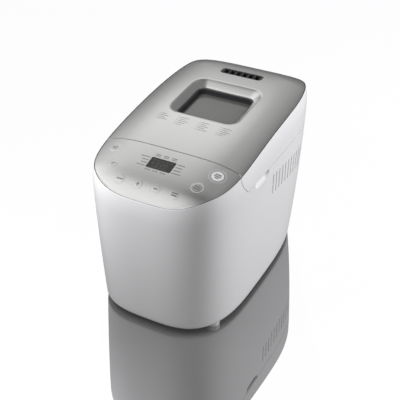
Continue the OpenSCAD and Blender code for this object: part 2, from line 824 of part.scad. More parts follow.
module temperature_probe() {
    color(steel) {
        probe_axis(3);
        translate([probe_x, oven_front - 18, seat_z + 70]) rotate([90, 0, 0]) cylinder(h = 5, r = 5);
    }
}

// Plate with two cups that the pan's feet drop into.
module pan_seat() {
    color(steel) translate([0, 0, seat_z]) difference() {
        union() {
            translate([0, oven_y, 0]) rbox(seat_w, paddle_gap + seat_w, 1.5, 20);
            for (y = shaft_y) translate([0, y, 0]) cylinder(h = 10, r = 29.6);
        }
        for (y = shaft_y) {
            translate([0, y, 1.5]) cylinder(h = 20, r = 26.6);
            translate([0, y, -1]) cylinder(h = 20, r = 21);
        }
    }
}

// ------------------------------------------------------------ pan

module bread_pan() {
    color([0.25, 0.25, 0.26]) difference() {
        union() {
            translate([0, oven_y, pan_z]) rbox(pan_w - 4, pan_l - 4, pan_h, pan_r - 2);
            translate([0, oven_y, pan_rim - 4]) rbox(pan_w, pan_l, 4, pan_r);
        }
        difference() {
            translate([0, oven_y, pan_z + pan_t])
                rbox(pan_w - 4 - 2 * pan_t, pan_l - 4 - 2 * pan_t, pan_h, pan_r - 2 - pan_t);
            for (y = shaft_y) translate([0, y, pan_z]) cylinder(h = pan_t + 5, r1 = 11, r2 = 9);
        }
        for (y = shaft_y) translate([0, y, pan_z - 1]) cylinder(h = 20, r = 4 + running);
        for (s = [-1, 1]) translate([0, oven_y + s * pan_l / 2, bail_pivot_z]) rotate([90, 0, 0])
            cylinder(h = 10, r = bail_r + running, center = true);
    }
}

module pan_foot() {
    color(steel) for (y = shaft_y) translate([0, y, seat_z + 1.5 + fit])
        ring(26, 23, pan_z - seat_z - 1.5 - 2 * fit);
}

// Bail folded onto the long rim of the pan, turning in the end walls.
module pan_handle() {
    arm = bail_reach / cos(bail_tilt);
    out = pan_l / 2 + 1.5 + bail_r;
    color(steel) translate([0, oven_y, bail_pivot_z]) rotate([0, -bail_tilt, 0]) {
        for (s = [-1, 1]) {
            translate([0, s * out, 0]) rotate([0, 90, 0]) cylinder(h = arm - 8, r = bail_r);
            translate([0, s * (out + bail_r), 0]) rotate([s * 90, 0, 0])
                cylinder(h = out + bail_r - pan_l / 2 + 2.6, r = bail_r);
            translate([arm - 8, s * (out - 8), 0]) rotate([0, 0, s > 0 ? 0 : -90])
                rotate_extrude(angle = 90) translate([8, 0]) circle(bail_r);
        }
        translate([arm, 0, 0]) rotate([90, 0, 0]) cylinder(h = 2 * (out - 8), r = bail_r, center = true);
    }
}

// Shaft through the pan floor with a D-shaped top and two lugs that hang between the driving lugs.
module paddle_shaft(y) {
    color(steel) translate([0, y, 0]) {
        difference() {
            translate([0, 0, lug_z + 2]) cylinder(h = pan_z + 24 - lug_z - 2, r = 4);
            translate([3.2, -10, pan_z + 8]) cube([10, 20, 40]);
        }
        translate([0, 0, lug_z + 6]) cylinder(h = 2.5, r = 12);
        lugs(lug_z, 6.5, 90);
    }
}

// Two lugs of a coupling, turned to an angle.
module lugs(z, h, turn) {
    translate([0, 0, z]) rotate([0, 0, turn]) intersection() {
        ring(12, 6.5, h);
        translate([0, 0, h / 2]) cube([40, 9, 2 * h], center = true);
    }
}

module paddle_shaft_front() { paddle_shaft(shaft_y[0]); }
module paddle_shaft_rear() { paddle_shaft(shaft_y[1]); }

module paddle(y, turn) {
    z = pan_z + pan_t + 5 + 0.4;
    color([0.25, 0.25, 0.26]) translate([0, y, z]) rotate([0, 0, turn]) difference() {
        union() {
            cylinder(h = 17, r1 = 9, r2 = 7.5);
            hull() {
                translate([3, -1.5, 0]) cube([3, 3, 15]);
                translate([paddle_reach - 8, -1.2, 0]) cube([8, 2.4, 3]);
                translate([paddle_reach - 14, -1, 12]) cube([3, 2, 11]);
            }
        }
        rotate([0, 0, -turn]) difference() {
            translate([0, 0, -1]) cylinder(h = 30, r = 4.15);
            translate([3.35, -10, 1]) cube([10, 20, 40]);
        }
    }
}

module paddle_front() { paddle(shaft_y[0], 0); }
module paddle_rear() { paddle(shaft_y[1], 180); }

// ------------------------------------------------------------ drive

module chassis() {
    color(steel) difference() {
        union() {
            translate([0, oven_y, chassis_z]) rbox(chassis_w, chassis_l, 3, 8);
            for (s = [-1, 1], y = [-leg_y, leg_y]) translate([s * leg_x, oven_y + y - leg_w / 2, floor_top]) {
                translate([-1.5, 0, 0]) cube([3, leg_w, chassis_z - floor_top + 1]);
                translate([s < 0 ? -1.5 : -14.5, 0, 0]) cube([16, leg_w, 2]);
            }
        }
        for (y = shaft_y) translate([0, y, chassis_z - 1]) cylinder(h = 5, r = 11 + fit);
    }
}

module drive_bearings() {
    color([0.62, 0.5, 0.3]) for (y = shaft_y) translate([0, y, 0]) {
        translate([0, 0, link_z + pulley_h + 1]) ring(11, 5 + running, oven_floor_z - fit - link_z - pulley_h - 1);
        translate([0, 0, chassis_z - fit - 2.5]) ring(18, 10, 2.5);
    }
}

module pulley(r, h = pulley_h) {
    translate([0, 0, flange_t]) cylinder(h = groove, r = r);
    for (z = [0, flange_t + groove]) translate([0, 0, z]) cylinder(h = flange_t, r = r + 2.6);
}

module drive_shaft(low) {
    translate([0, 0, low]) cylinder(h = lug_z - low, r = 5);
    translate([0, 0, seat_z + 1]) cylinder(h = 2.6, r = 12);
    lugs(seat_z + 3, 6.2, 0);
}

module drive_shaft_front() {
    color(steel) translate([0, shaft_y[0], 0]) {
        drive_shaft(big_z - 2);
        difference() {
            translate([0, 0, big_z]) pulley(pulley_big_r);
            for (a = [0:60:359]) rotate([0, 0, a]) translate([pulley_big_r * 0.58, 0, big_z - 1])
                cylinder(h = pulley_h + 2, r = pulley_big_r * 0.2);
        }
        translate([0, 0, link_z]) pulley(pulley_link_r);
    }
}

module drive_shaft_rear() {
    color(steel) translate([0, shaft_y[1], 0]) {
        drive_shaft(link_z - 2);
        translate([0, 0, link_z]) pulley(pulley_link_r);
    }
}

module belt_loop(y1, r1, y2, r2) {
    linear_extrude(belt_w) difference() {
        hull() { translate([0, y1]) circle(r1 + 1.7, $fn = 72); translate([0, y2]) circle(r2 + 1.7, $fn = 72); }
        hull() { translate([0, y1]) circle(r1 + 0.25, $fn = 72); translate([0, y2]) circle(r2 + 0.25, $fn = 72); }
    }
}

module drive_belt() {
    color(dark) translate([0, 0, big_z + flange_t + fit])
        belt_loop(motor_y, pulley_small_r, shaft_y[0], pulley_big_r);
}

module link_belt() {
    color(dark) translate([0, 0, link_z + flange_t + fit])
        belt_loop(shaft_y[0], pulley_link_r, shaft_y[1], pulley_link_r);
}

module motor() {
    color([0.45, 0.46, 0.48]) translate([0, motor_y, mount_z + 3]) difference() {
        union() {
            cylinder(h = motor_h, r = motor_r);
            translate([0, 0, motor_h]) cylinder(h = 6, r1 = motor_r - 3, r2 = motor_r - 12);
            for (a = [0:30:359]) rotate([0, 0, a]) translate([motor_r - 1, -1, 8]) cube([2.4, 2, motor_h - 16]);
        }
        translate([0, 0, -1]) cylinder(h = 30, r = 8);
    }
}

module motor_mount() {
    color(steel) difference() {
        union() {
            translate([0, motor_y, mount_z]) rbox(2 * motor_r + 16, 2 * motor_r + 6, 3, 8);
            for (x = [-1, 1], y = [-1, 1])
                translate([x * (motor_r + 2), motor_y + y * (motor_r - 4), floor_top])
                    cylinder(h = mount_z - floor_top + 1, r = 4);
        }
        translate([0, motor_y, mount_z - 1]) cylinder(h = 5, r = 9);
    }
}

module motor_rotor() {
    color(steel) translate([0, motor_y, 0]) {
        translate([0, 0, big_z - 2]) cylinder(h = mount_z + 27 - big_z, r = 3);
        translate([0, 0, big_z]) pulley(pulley_small_r);
        translate([0, 0, mount_z + 4]) cylinder(h = 20, r = 7.6);
    }
}

module capacitor() {
    color([0.3, 0.32, 0.36]) translate([-board_x, motor_y - 4, floor_top]) cylinder(h = can_h, r = can_r);
}

module power_board() {
    color(green) translate([board_x, motor_y, floor_top]) {
        translate([-board_t / 2, -board_l / 2, 0]) cube([board_t, board_l, board_h]);
        translate([0.8, -20, 24]) cube([14, 18, 20]);
        translate([0.8, 12, 40]) rotate([0, 90, 0]) cylinder(h = 16, r = 7);
    }
}

housing();
base_plate();
feet();
control_panel();
lcd_lens();
lcd_module();
control_board();
key_program();
key_crust();
key_dough();
key_plus();
key_minus();
key_light();
key_timer();
key_start();
lid_shell();
lid_top_plate();
window_bezel();
window_well();
window_glass();
window_gasket();
steam_vent_grille();
steam_duct();
lid_liner();
inner_glass();
lid_seal();
lid_screws();
hinge_pins();
oven_liner();
oven_insulation();
heating_element();
element_bushings();
element_clips();
temperature_probe();
pan_seat();
bread_pan();
pan_foot();
pan_handle();
paddle_shaft_front();
paddle_shaft_rear();
paddle_front();
paddle_rear();
chassis();
drive_bearings();
drive_shaft_front();
drive_shaft_rear();
drive_belt();
link_belt();
motor();
motor_mount();
motor_rotor();
capacitor();
power_board();
base_screws();
power_inlet();
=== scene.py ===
"""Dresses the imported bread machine: camera, studio, smooth outer shells, keys, display and finishes."""
import json
import math

import bmesh
import bpy
import numpy as np
from mathutils import Matrix, Vector
from mathutils.bvhtree import BVHTree


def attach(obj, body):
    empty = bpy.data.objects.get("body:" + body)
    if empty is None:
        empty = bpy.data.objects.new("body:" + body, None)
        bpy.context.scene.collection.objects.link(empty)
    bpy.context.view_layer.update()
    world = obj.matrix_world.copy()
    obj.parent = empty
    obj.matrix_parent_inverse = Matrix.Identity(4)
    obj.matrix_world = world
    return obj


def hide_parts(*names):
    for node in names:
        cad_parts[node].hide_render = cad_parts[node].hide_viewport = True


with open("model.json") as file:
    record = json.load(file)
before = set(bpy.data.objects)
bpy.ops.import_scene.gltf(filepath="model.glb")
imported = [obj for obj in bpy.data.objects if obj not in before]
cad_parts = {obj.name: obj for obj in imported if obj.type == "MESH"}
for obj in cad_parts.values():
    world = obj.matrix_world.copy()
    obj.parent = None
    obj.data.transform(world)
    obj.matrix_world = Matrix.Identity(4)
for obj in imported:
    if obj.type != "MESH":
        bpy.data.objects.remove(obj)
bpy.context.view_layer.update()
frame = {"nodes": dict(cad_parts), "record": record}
nodes = frame["nodes"]

MM = 0.001  # every size below is in millimetres until a mesh is made

# ---------------------------------------------------------------- driving sizes
# They follow the CAD part. Only the front roll (FRONT_*), the rim's LIP and the window surround
# (WINDOW_*) are shaped further here.

BODY_W, BODY_FRONT, BODY_REAR = 249.6, 168.8, 240.8
SQUARE_FRONT, SQUARE_REAR = 3.67, 5.16
SQUARE_FRONT_BASE, SQUARE_REAR_BASE = 3.2, 3.3
BASE_DRAW, BASE_FILLET, BASE_INSET = 3.3, 6.0, 4.0
WALL, FOOT_H = 3.0, 8.0
TOP_FRONT_Z, TOP_REAR_Z, TOP_BULGE = 258.4, 303.8, 15.6
REAR_DROP, ROLL_FROM = 14.0, 0.88
FRONT_DROP, FRONT_TO, FRONT_GROW = 14.0, 0.10, 2.0
CROWN, CROWN_POWER = 13.0, 4.4
SHOULDER, SHOULDER_H, LIP, PLATE_T = 4.8, 32.0, 1.2, 2.5
PART_Z, PART_GAP, PART_Y, PART_BOW, PART_SWEEP = 233.2, 1.2, -106.5, 5.0, 18.0
WINDOW_W, WINDOW_L, WINDOW_Y, WINDOW_R = 134.0, 120.0, 38.5, 24.0
WINDOW_BACK, WINDOW_SLOPE = 2.0, 1.46
VENT_W, VENT_L, VENT_Y, VENT_R = 78.0, 20.0, 139.0, 6.5
LCD_W, LCD_L, LCD_Y = 42.0, 23.0, -141.0
BARREL_HALF, EAR_T, BARREL_R = 56.0, 5.0, 7.0
OVEN_W, OVEN_L, OVEN_Y, OVEN_R = 178.0, 242.0, 42.0, 14.0
KEYS = {
    "program": (-89.5, -128.4, 7.8), "crust": (-73.0, -162.0, 7.8), "dough": (-47.0, -185.0, 7.8),
    "plus": (-15.3, -185.0, 7.8), "minus": (15.3, -185.0, 7.8), "light": (47.0, -185.0, 7.8),
    "timer": (73.0, -162.0, 8.6), "start": (89.5, -128.4, 9.6),
}

WIDEST_Y = (BODY_FRONT - BODY_REAR) / 2
PLATE_A = BODY_W / 2 - SHOULDER
PLATE_FRONT, PLATE_REAR = BODY_FRONT - SHOULDER, BODY_REAR - SHOULDER
PLATE_LEN = PLATE_FRONT + PLATE_REAR
REAR_Y = WIDEST_Y + BODY_REAR
SKIN = PLATE_T + 0.3
# Depth below the top surface where the dark painted-shade strip in the plate gap begins.
SHADE_STRIP_DEPTH = 0.15
RING_N = 288
HINGE_Y, HINGE_Z = REAR_Y - 7.8, PART_Z + 9.0
PIN_R, FLOOR_TOP, BOARD_DEPTH, LINER_TOP = 2.0, FOOT_H + WALL, 13.2, PART_Z + 6.2
INLET_X, INLET_Z = 40.0, 44.0
SCOOP_R, SCOOP_FROM, SCOOP_TO = 13.0, -56.0, -28.0
SLOTS_N, SLOT_PITCH, SLOT_FALL, SLOT_W, SLOT_L, SLOT_FIRST_Y, SLOT_DROP = 11, 13.0, 1.3, 3.0, 38.0, 5.0, 22.0
PILLAR_D, BOSS_D, POST_D, EAR_R, ROOM_R = 14.0, 8.0, 10.0, 5.5, 11.6
SCREWS = [(111.0, -60.0), (108.0, 70.0)]
BOSSES = [(95.0, -146.0), (66.0, -181.0)]
LID_POSTS = [(107.0, -58.0), (107.0, 118.0)]

JOINT_STEPS = 48      # points along the joint between lid and housing
ROUND_STEPS = 96      # points round a key, bore or halo
FAR = 300.0           # beyond the part on every side
BENT_DEPTH = 1.3      # what lies less deep than this follows the curved top
# Key caps: flange heights, stem, and the underside of the thin caps in front of KEY_THIN_FROM.
KEY_FLANGE, KEY_STEM_R, KEY_STEM_END = (-4.3, -3.3), 1.5, -8.2
KEY_THIN, KEY_THIN_FROM = -1.1, -170.0


# ---------------------------------------------------------------- surface functions

def mix(a, b, t):
    return a + (b - a) * t


def along(y):
    return (y - WIDEST_Y + PLATE_FRONT) / PLATE_LEN


def roll(y):
    """Share of the way through the roll at the rear end of the top."""
    return np.maximum(0, (along(y) - ROLL_FROM) / (1 - ROLL_FROM))


def nose(y):
    """Share of the way through the roll at the front end of the top."""
    return np.maximum(0, (FRONT_TO - along(y)) / FRONT_TO)


def top_z(y):
    u = along(y)
    return (mix(TOP_FRONT_Z, TOP_REAR_Z, u) + 4 * TOP_BULGE * u * (1 - u)
            - REAR_DROP * roll(y) ** 2 - FRONT_DROP * nose(y) ** 3)


def surf(x, y):
    """Height of the visible top surface."""
    return top_z(y) - CROWN * (np.abs(x) / PLATE_A) ** CROWN_POWER


def normal(x, y, front):
    """Outward normal of the top surface, with a share of the front roll."""
    sx = -np.sign(x) * CROWN * CROWN_POWER / PLATE_A * (abs(x) / PLATE_A) ** (CROWN_POWER - 1)
    sy = (TOP_REAR_Z - TOP_FRONT_Z + 4 * TOP_BULGE * (1 - 2 * along(y))
          - 2 * REAR_DROP * roll(y) / (1 - ROLL_FROM) + 3 * front * FRONT_DROP * nose(y) ** 2 / FRONT_TO) / PLATE_LEN
    return Vector((-sx, -sy, 1)).normalized()


def plan(o=0.0, w=0.0, rho=1.0):
    """Plan ring: o is the offset from the silver edge, w is 0 at the top and 1 at the base."""
    a = np.arange(RING_N) * 2 * math.pi / RING_N
    c, s = np.cos(a), np.sin(a)
    e = np.where(s < 0, mix(SQUARE_FRONT, SQUARE_FRONT_BASE, w), mix(SQUARE_REAR, SQUARE_REAR_BASE, w))
    r = rho / (np.abs(c) ** e + np.abs(s) ** e) ** (1 / e)
    front = PLATE_FRONT + FRONT_GROW * (1 - w) * min(1, max(0, 1 - o / SHOULDER))
    return np.stack([(PLATE_A + o) * r * c, WIDEST_Y + (np.where(s < 0, front, PLATE_REAR) + o) * r * s], 1)


def edge_z():
    p = plan()
    return surf(p[:, 0], p[:, 1])


def lifted(p, z):
    return np.column_stack([p, np.broadcast_to(z, len(p))])


def base_ring(o, z):
    return lifted(plan(o, 1), z)


def wall_ring(f, inset):
    w = (1 - f) ** 1.3
    return lifted(plan(SHOULDER - BASE_DRAW * w - inset, w), mix(FOOT_H + BASE_FILLET, edge_z() - SHOULDER_H, f))


def shoulder_ring(d, inset):
    lean = LIP + (SHOULDER - LIP) * (1 - (1 - d / SHOULDER_H) ** 2)
    return lifted(plan(lean - inset), edge_z() - d)


def top_ring(rho, o, depth):
    q = plan(0, 0, rho)
    return lifted(plan(o, 0, rho), surf(q[:, 0], q[:, 1]) - depth)


def joint_y(z):
    """Side view of the joint between lid and housing."""
    top = top_z(PART_Y) - 0.75 * CROWN
    low = top - 6
    if z > top:
        return PART_Y
    if z > low:
        return PART_Y - PART_BOW * (1 - math.cos(math.pi * (top - z) / (top - low))) / 2
    return PART_Y - PART_BOW + PART_SWEEP * (1 - math.cos(math.pi / 2 * (low - z) / (low - PART_Z)))


def joint_line(g):
    """Points up the joint, moved back by g."""
    top = top_z(PART_Y) - 0.75 * CROWN
    return [(joint_y(z) + g, z) for z in np.linspace(PART_Z, top, JOINT_STEPS)]


# ---------------------------------------------------------------- mesh helpers

def mesh_object(name, verts, faces):
    me = bpy.data.meshes.new(name)
    me.from_pydata([tuple(float(c) * MM for c in v) for v in verts], [],
                   [tuple(int(i) for i in f) for f in faces])
    me.validate()
    o = bpy.data.objects.new(name, me)
    bpy.context.scene.collection.objects.link(o)
    return o


def loft(name, rings, low=None, high=None):
    """Closed mesh through rings of equal length; an end without a point gets one flat face."""
    n, m = len(rings[0]), len(rings)
    verts = [tuple(v) for r in rings for v in r]
    i = np.arange(n)
    j = (i + 1) % n
    faces = [f for k in range(m - 1)
             for f in np.stack([k * n + i, k * n + j, (k + 1) * n + j, (k + 1) * n + i], 1)]
    if low is None:
        faces.append(i[::-1])
    else:
        verts.append(tuple(low))
        faces += [(len(verts) - 1, b, a) for a, b in zip(i, j)]
    if high is None:
        faces.append((m - 1) * n + i)
    else:
        verts.append(tuple(high))
        faces += [(len(verts) - 1, (m - 1) * n + a, (m - 1) * n + b) for a, b in zip(i, j)]
    return mesh_object(name, verts, faces)


def prism(name, points, axis, lo, hi):
    """Straight solid over a closed outline; axis x takes (y, z) points and axis z takes (x, y) points."""
    put = (lambda p, h: (h, p[0], p[1])) if axis == "x" else (lambda p, h: (p[0], p[1], h))
    area = sum(a[0] * b[1] - b[0] * a[1] for a, b in zip(points, points[1:] + points[:1]))
    pts = points if area > 0 else points[::-1]
    return loft(name, [[put(p, lo) for p in pts], [put(p, hi) for p in pts]])


def box(name, lo, hi):
    return prism(name, [(lo[0], lo[1]), (hi[0], lo[1]), (hi[0], hi[1]), (lo[0], hi[1])], "z", lo[2], hi[2])


def rrect(w, l, r, n=12, x0=0.0, y0=0.0):
    """Outline of a rectangle with round corners."""
    pts = []
    for q, (sx, sy) in enumerate([(1, 1), (-1, 1), (-1, -1), (1, -1)]):
        for k in range(n + 1):
            a = math.pi / 2 * (q + k / n)
            pts.append((x0 + sx * (w / 2 - r) + r * math.cos(a), y0 + sy * (l / 2 - r) + r * math.sin(a)))
    return pts


def peg_outline(d, n, x, y):
    """Outline of a round peg or hole."""
    return rrect(d, d, d / 2 - 0.001, n, x, y)


def frame_at(x, y, front=1.0):
    """Frame on the top surface, z along the outward normal, in metres; front 0 leaves the front roll out."""
    n = normal(x, y, front)
    xa = Vector((0, 1, 0)).cross(n).normalized()
    m = Matrix((xa, n.cross(xa), n)).transposed().to_4x4()
    m.translation = Vector((x, y, float(surf(x, y) + (1 - front) * FRONT_DROP * nose(y) ** 3))) * MM
    return m


def placed(o, m):
    o.data.transform(m)
    return o


def bent(o, m):
    """Placed by frame m, with all that lies near its top moved along z to the curved surface."""
    co = np.array([v.co for v in o.data.vertices]) / MM
    near = co[:, 2] > -BENT_DEPTH
    turn, at, t = np.array(m.to_3x3()), np.array(m.translation) / MM, np.zeros(near.sum())
    for _ in range(8):
        q = np.column_stack([co[near, :2], t]) @ turn.T + at
        t += surf(q[:, 0], q[:, 1]) - q[:, 2]
    co[near, 2] += t
    o.data.vertices.foreach_set("co", (co * MM).ravel())
    return placed(o, m)


def lathe(name, profile, n=ROUND_STEPS):
    """Solid of revolution about z through (radius, height) points, closed at both ends."""
    a = np.arange(n) * 2 * math.pi / n
    rings = [np.stack([r * np.cos(a), r * np.sin(a), np.full(n, h)], 1) for r, h in profile]
    return loft(name, rings)


def cut(a, b, how="DIFFERENCE", keep=False):
    """Boolean of a with b, applied."""
    m = a.modifiers.new("cut", "BOOLEAN")
    m.operation, m.object, m.solver = how, b, "MANIFOLD"
    dep = bpy.context.evaluated_depsgraph_get()
    new = bpy.data.meshes.new_from_object(a.evaluated_get(dep))
    a.modifiers.clear()
    a.data = new
    if not keep:
        bpy.data.objects.remove(b, do_unlink=True)
    return a


def joined(name, *objs):
    """One object from several closed shells that don't meet."""
    bm = bmesh.new()
    for o in objs:
        bm.from_mesh(o.data)
        bpy.data.objects.remove(o, do_unlink=True)
    me = bpy.data.meshes.new(name)
    bm.to_mesh(me)
    bm.free()
    o = bpy.data.objects.new(name, me)
    bpy.context.scene.collection.objects.link(o)
    return o


def smooth(o, ref=None, limit=28.0):
    """Smooth shading: normals come from the uncut shell ref where the face still lies along it."""
    me = o.data
    me.polygons.foreach_set("use_smooth", [True] * len(me.polygons))
    if ref is None:
        me.set_sharp_from_angle(angle=math.radians(limit))
        return o
    rv = [v.co.copy() for v in ref.data.vertices]
    rn = [v.normal.copy() for v in ref.data.vertices]
    rp = [tuple(p.vertices) for p in ref.data.polygons]
    tree = BVHTree.FromPolygons(rv, rp)
    guess = []
    for v in me.vertices:
        loc, _, face, dist = tree.find_nearest(v.co)
        if dist > 0.0002 or len(rp[face]) > 8:
            guess.append(None)
            continue
        acc = Vector((0, 0, 0))
        for k in rp[face]:
            acc += rn[k] / ((rv[k] - loc).length + 1e-6)
        guess.append(acc.normalized())
    out = []
    for p in me.polygons:
        for k in p.loop_indices:
            g = guess[me.loops[k].vertex_index]
            out.append(g if g is not None and g.dot(p.normal) > 0.93 else p.normal.copy())
    me.normals_split_custom_set(out)
    return o


def remove(*objs):
    for o in objs:
        bpy.data.objects.remove(o, do_unlink=True)


# ---------------------------------------------------------------- camera

AZ, EL = math.radians(28.056), math.radians(34.203)
CAMERA_AT = Vector((549.21, -1046.46, 927.47)) * MM
FOCAL_PX, IMAGE_PX = 823.23, 400

right = Vector((math.cos(AZ), math.sin(AZ), 0))
back = Vector((math.sin(AZ) * math.cos(EL), -math.cos(AZ) * math.cos(EL), math.sin(EL)))
cam = bpy.data.objects.new("camera", bpy.data.cameras.new("camera"))
cam.matrix_world = Matrix.Translation(CAMERA_AT) @ Matrix((right, back.cross(right), back)).transposed().to_4x4()
cam.data.sensor_width = 36
cam.data.lens = 36 * FOCAL_PX / IMAGE_PX
bpy.context.scene.collection.objects.link(cam)
bpy.context.scene.camera = cam

# ---------------------------------------------------------------- materials


def material(name, color, rough, metal=0.0, grain=0.0, scale=900.0, vary=0.06, bevel=0.0, flat=False, **sockets):
    """Principled finish with a fine procedural grain, soft colour variation and rounded edges or flat faces."""
    m = bpy.data.materials.new(name)
    m.use_nodes = True
    t = m.node_tree
    b = t.nodes["Principled BSDF"]
    b.inputs["Metallic"].default_value = metal
    for k, v in sockets.items():
        b.inputs[k.replace("_", " ")].default_value = v
    co = t.nodes.new("ShaderNodeTexCoord")
    big = t.nodes.new("ShaderNodeTexNoise")
    big.inputs["Scale"].default_value = 14.0
    big.inputs["Detail"].default_value = 3.0
    fine = t.nodes.new("ShaderNodeTexNoise")
    fine.inputs["Scale"].default_value = scale
    fine.inputs["Detail"].default_value = 4.0
    t.links.new(co.outputs["Object"], big.inputs["Vector"])
    t.links.new(co.outputs["Object"], fine.inputs["Vector"])
    tone = t.nodes.new("ShaderNodeMix")
    tone.data_type = "RGBA"
    tone.inputs["A"].default_value = (*[c * (1 - vary) for c in color], 1)
    tone.inputs["B"].default_value = (*[min(1, c * (1 + vary)) for c in color], 1)
    t.links.new(big.outputs["Fac"], tone.inputs["Factor"])
    t.links.new(tone.outputs["Result"], b.inputs["Base Color"])
    spread = t.nodes.new("ShaderNodeMapRange")
    spread.inputs["To Min"].default_value = max(0.02, rough - 0.05)
    spread.inputs["To Max"].default_value = min(1, rough + 0.05)
    t.links.new(fine.outputs["Fac"], spread.inputs["Value"])
    t.links.new(spread.outputs["Result"], b.inputs["Roughness"])
    bump = t.nodes.new("ShaderNodeBump")
    bump.inputs["Strength"].default_value = grain
    bump.inputs["Distance"].default_value = 0.0002
    t.links.new(fine.outputs["Fac"], bump.inputs["Height"])
    if bevel:
        edge = t.nodes.new("ShaderNodeBevel")
        edge.samples = 4
        edge.inputs["Radius"].default_value = bevel * MM
        t.links.new(edge.outputs["Normal"], bump.inputs["Normal"])
    if flat:
        t.links.new(t.nodes.new("ShaderNodeNewGeometry").outputs["True Normal"], bump.inputs["Normal"])
    t.links.new(bump.outputs["Normal"], b.inputs["Normal"])
    return m


WHITE = material("white_gloss", (0.80, 0.80, 0.815), 0.30, grain=0.05, scale=700, vary=0.01, bevel=0.5)
SILVER = material("silver_satin", (0.84, 0.84, 0.83), 0.29, metal=0.96, grain=0.12, scale=2600, vary=0.015, bevel=0.35)
DARK = material("dark_moulding", (0.030, 0.030, 0.033), 0.42, grain=0.15, scale=1200)
RUBBER = material("black_rubber", (0.035, 0.035, 0.036), 0.75, grain=0.3, scale=1500)
SEAL = material("silicone_seal", (0.30, 0.055, 0.04), 0.55, grain=0.1, scale=900)
STEEL = material("plain_steel", (0.58, 0.58, 0.59), 0.30, metal=1.0, grain=0.15, scale=500, vary=0.04)
ALUMINIUM = material("satin_aluminium", (0.74, 0.74, 0.75), 0.34, metal=1.0, grain=0.2, scale=700, vary=0.03)
GLASS = material("tinted_glass", (0.115, 0.115, 0.112), 0.12, vary=0.01, flat=True,
                 Transmission_Weight=0.12, IOR=1.5)
LENS = material("display_lens", (0.024, 0.025, 0.023), 0.2, vary=0.02, Specular_IOR_Level=0.3)
BOARD = material("board_laminate", (0.03, 0.14, 0.06), 0.45, grain=0.2, scale=400, vary=0.2)
MOTOR = material("motor_paint", (0.16, 0.17, 0.18), 0.5, metal=0.4, grain=0.4, scale=500, vary=0.1)
CAN = material("capacitor_can", (0.45, 0.47, 0.5), 0.35, metal=1.0, grain=0.1)
ELEMENT = material("element_sheath", (0.12, 0.115, 0.115), 0.55, metal=0.8, grain=0.3, scale=800, vary=0.2)
CERAMIC = material("ceramic", (0.78, 0.75, 0.68), 0.4, grain=0.1)
FIBRE = material("fibre_blanket", (0.55, 0.52, 0.45), 0.95, grain=1.0, scale=350, vary=0.25)
NONSTICK = material("nonstick_coat", (0.035, 0.035, 0.038), 0.38, metal=0.3, grain=0.35, scale=1800, vary=0.15)
BRONZE = material("sintered_bronze", (0.42, 0.28, 0.14), 0.45, metal=1.0, grain=0.3, scale=900, vary=0.1)
INK = material("grey_print", (0.13, 0.13, 0.135), 0.6, grain=0.05)
RING = material("pale_ring", (0.62, 0.62, 0.63), 0.35, metal=0.3, grain=0.03, vary=0.01)
PALE = material("pale_key", (0.52, 0.52, 0.53), 0.4, metal=0.1, grain=0.03, vary=0.01)
SEGMENT = material("display_segment", (0.065, 0.068, 0.064), 0.4, vary=0.02)

SLOTS = {
    "white_plastic": WHITE, "silver_plate": SILVER, "key_plastic": SILVER, "dark_plastic": DARK, "rubber": RUBBER,
    "seal_rubber": SEAL, "display": LENS, "board": BOARD, "glass": GLASS, "aluminium": ALUMINIUM, "steel": STEEL,
    "motor_steel": MOTOR, "capacitor_can": CAN, "element": ELEMENT, "ceramic": CERAMIC, "insulation": FIBRE,
    "nonstick": NONSTICK, "bronze": BRONZE,
}

for part in frame["record"]["subparts"]:
    o = nodes[part["node"]]
    o.data.materials.clear()
    o.data.materials.append(SLOTS[part["material_slot"]])


def dress(o, mat, body, slot, *stands_for):
    """Gives a new piece its finish and its body and hides the CAD nodes that it stands for; the slot argument is not
    used.
    """
    o.data.materials.clear()
    o.data.materials.append(mat)
    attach(o, body)
    if stands_for:
        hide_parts(*stands_for)
    return o


# ---------------------------------------------------------------- white shells

RIM_RHOS = [1 - 0.016 * k for k in range(1, 11)]
wall_steps = np.linspace(0, 1, 16)
fillet = [(BASE_INSET * (1 - math.sin(t)), FOOT_H + BASE_FILLET * (1 - math.cos(t)))
          for t in np.linspace(0, math.pi / 2, 7)[:-1]]
outer = loft(
    "outer_form",
    [base_ring(SHOULDER - BASE_DRAW - i, z) for i, z in fillet]
    + [wall_ring(f, 0) for f in wall_steps]
    + [shoulder_ring(d, 0) for d in (28, 24, 20, 16.5, 13, 10, 7.5, 5.2, 3.3, 1.8, 0.7, 0)]
    + [top_ring(1, LIP, SKIN + LIP / 2)] + [top_ring(r, 0, SKIN) for r in RIM_RHOS],
    (0, WIDEST_Y, FOOT_H), (0, WIDEST_Y, top_z(WIDEST_Y) - SKIN))
inner = loft(
    "inner_form",
    [base_ring(SHOULDER - BASE_DRAW - BASE_INSET - WALL, FOOT_H - 2),
     base_ring(SHOULDER - BASE_DRAW - WALL, FOOT_H + BASE_FILLET + 2)]
    + [wall_ring(f, WALL) for f in (0.25, 0.5, 0.75, 1)]
    + [shoulder_ring(d, WALL) for d in (24, 16, 10, SKIN + WALL)]
    + [top_ring(r, 0, SKIN + WALL) for r in RIM_RHOS],
    (0, WIDEST_Y, FOOT_H - 2), (0, WIDEST_Y, top_z(WIDEST_Y) - SKIN - WALL))


def housing_region(g, z):
    """All in front of the joint, which is moved back by g, and below z behind it."""
    low = [(-FAR, -FAR), (FAR, -FAR), (FAR, z)]
    if z != PART_Z:
        low.append((joint_y(PART_Z) + g, z))
    return prism("front_region", low + joint_line(g) + [(PART_Y + g, FAR + 60), (-FAR, FAR + 60)], "x", -FAR, FAR)


def lid_region(g, z):
    """All behind the joint, which is moved back by g, and above z."""
    first = [(joint_y(PART_Z) + g, z)] if z != PART_Z else []
    last = [(PART_Y + g, FAR + 60), (FAR, FAR + 60)]
    return prism("lid_region", [(FAR, z)] + first + joint_line(g) + last, "x", -FAR, FAR)


